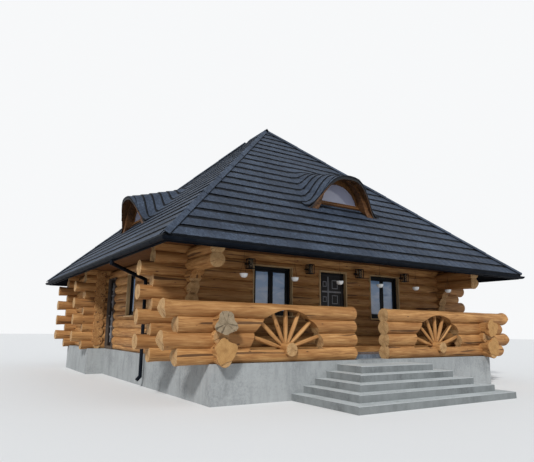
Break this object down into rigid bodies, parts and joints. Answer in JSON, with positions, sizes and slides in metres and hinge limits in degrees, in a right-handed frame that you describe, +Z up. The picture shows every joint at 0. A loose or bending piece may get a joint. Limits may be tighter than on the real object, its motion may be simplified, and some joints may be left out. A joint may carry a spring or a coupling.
{
  "type": "log cabin",
  "caption": "Round-log cabin on a stone plinth with a tiled hip roof, eyebrow dormers, a front terrace with sunburst rails and wide concrete steps.",
  "frame": {"origin": "centre of the bounding box in plan, on the ground beside the plinth", "axes": "+X right along the front as seen from outside, +Y from the steps to the back wall, +Z up"},
  "size_m": [11.6006, 14.3802, 8.5262],
  "materials": {
    "plinth": "rough",
    "steps": "rough",
    "logs": "satin",
    "spokes": "satin",
    "floor": "satin",
    "soffit": "satin",
    "tiles": "rough",
    "fascia": "satin",
    "gutter": "satin",
    "dormer_wood": "satin",
    "joinery": "satin",
    "glass": "clear",
    "door_frame": "satin",
    "door": "satin",
    "lantern": "satin",
    "lamp_glass": "frosted",
    "bowl": "gloss"
  },
  "bodies": {
    "house": {"attic_floor": "soffit", "back_glass": "glass", "back_wall": "logs", "back_windows": "joinery", "cross_wall": "logs", "dormer_glass": "glass", "dormer_roofs": "tiles", "dormer_walls": "dormer_wood", "downspout": "gutter", "fascia": "fascia", "front_door_frame": "door_frame", "front_glass": "glass", "front_wall": "logs", "front_windows": "joinery", "gutters": "gutter", "hanging_bowls": "bowl", "house_floor": "floor", "lantern_glass": "lamp_glass", "lanterns": "lantern", "left_wall": "logs", "plinth": "plinth", "rear_left_wall": "logs", "rear_right_wall": "logs", "ridge_caps": "tiles", "right_wall": "logs", "roof_back": "tiles", "roof_front": "tiles", "roof_left": "tiles", "roof_right": "tiles", "side_door_frame": "door_frame", "side_glass": "glass", "side_windows": "joinery", "step_1": "steps", "step_2": "steps", "step_3": "steps", "step_4": "steps", "step_5": "steps", "sunburst_left": "spokes", "sunburst_right": "spokes", "terrace_floor": "floor", "terrace_rail_left": "logs", "terrace_rail_right": "logs"},
    "front_leaf": {"front_door": "door"},
    "side_leaf": {"side_door": "door"}
  },
  "joints": [
    {"name": "front_door_hinge", "type": "hinge", "parent": "house", "child": "front_leaf", "pos_m": [-0.5567, -3.57015, 2], "axis": [0, 0, -1], "range_deg": [0, 90]},
    {"name": "side_door_hinge", "type": "hinge", "parent": "house", "child": "side_leaf", "pos_m": [-4.4, 2.08815, 2], "axis": [0, 0, 1], "range_deg": [0, 90]}
  ]
}
